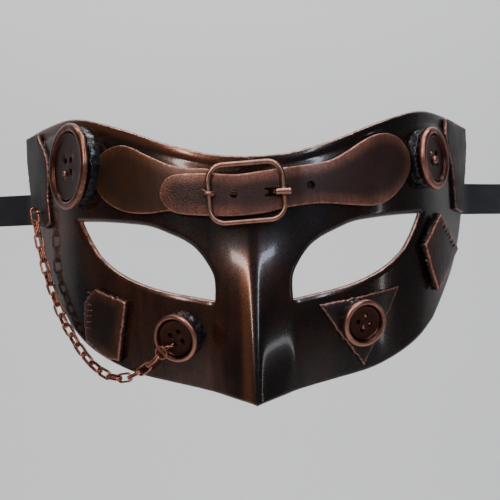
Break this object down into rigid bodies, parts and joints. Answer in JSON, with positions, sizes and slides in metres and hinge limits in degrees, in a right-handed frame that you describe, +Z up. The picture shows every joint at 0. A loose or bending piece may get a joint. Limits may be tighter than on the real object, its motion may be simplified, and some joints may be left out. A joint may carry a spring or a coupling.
{
  "type": "half mask",
  "caption": "Rigid half mask in worn bronze lacquer with strapped brow and buckle, buttons, patches, a swagged side chain and ribbon ties.",
  "frame": {"origin": "the bridge-of-nose seat on the inner side of the shell, between the eye holes", "axes": "+Z up the brow, -Y the way the mask looks, +Y into the wearer's face, +X the viewer's right"},
  "size_m": [0.2722, 0.1233, 0.1104],
  "materials": {
    "shell": "near-black bronze lacquer, brushed, rubbed through to copper at the edges",
    "strap": "copper-brown antiqued, lighter edges",
    "patch": "dark antiqued with copper edges",
    "buckle": "antique copper plating",
    "button": "copper-plated, dark in the dish",
    "chain": "reddish copper plating, worn",
    "glue": "black, glossy, lumpy",
    "thread": "waxed dark thread",
    "ribbon": "black satin"
  },
  "bodies": {
    "mask": {"mask_shell": "shell", "brow_strap_left": "strap", "brow_strap_right": "strap", "buckle_frame": "buckle", "buckle_prong": "buckle", "button_upper_left": "button", "button_upper_right": "button", "button_lower_left": "button", "button_lower_right": "button", "button_base_upper_left": "glue", "button_base_upper_right": "glue", "button_base_lower_left": "glue", "button_base_lower_right": "glue", "temple_patch_left": "patch", "temple_patch_right": "patch", "cheek_patch_left": "patch", "cheek_patch_right": "patch", "cheek_pad_left": "glue", "cheek_pad_right": "glue", "triangle_patch": "patch", "stitches_left": "thread", "stitches_right": "thread", "chain_eyelet": "chain", "button_loop": "chain", "ribbon_left": "ribbon", "ribbon_right": "ribbon", "ribbon_pad_left": "glue", "ribbon_pad_right": "glue"},
    "chain": {"round_ring": "chain", "chain_link_01": "chain", "chain_link_02": "chain", "chain_link_03": "chain", "chain_link_04": "chain", "chain_link_05": "chain", "chain_link_06": "chain", "chain_link_07": "chain", "chain_link_08": "chain", "chain_link_09": "chain", "chain_link_10": "chain", "chain_link_11": "chain", "chain_link_12": "chain", "chain_link_13": "chain", "chain_link_14": "chain", "chain_link_15": "chain", "chain_link_16": "chain", "chain_link_17": "chain", "chain_link_18": "chain", "chain_link_19": "chain", "chain_link_20": "chain", "chain_link_21": "chain"}
  },
  "joints": [
    {"name": "chain_swing", "type": "hinge", "parent": "mask", "child": "chain", "pos_m": [-0.08689, 0.0567, 0.0176], "axis": [-0.5665, 0.5989, 0.566], "range_deg": [0, 20]}
  ]
}
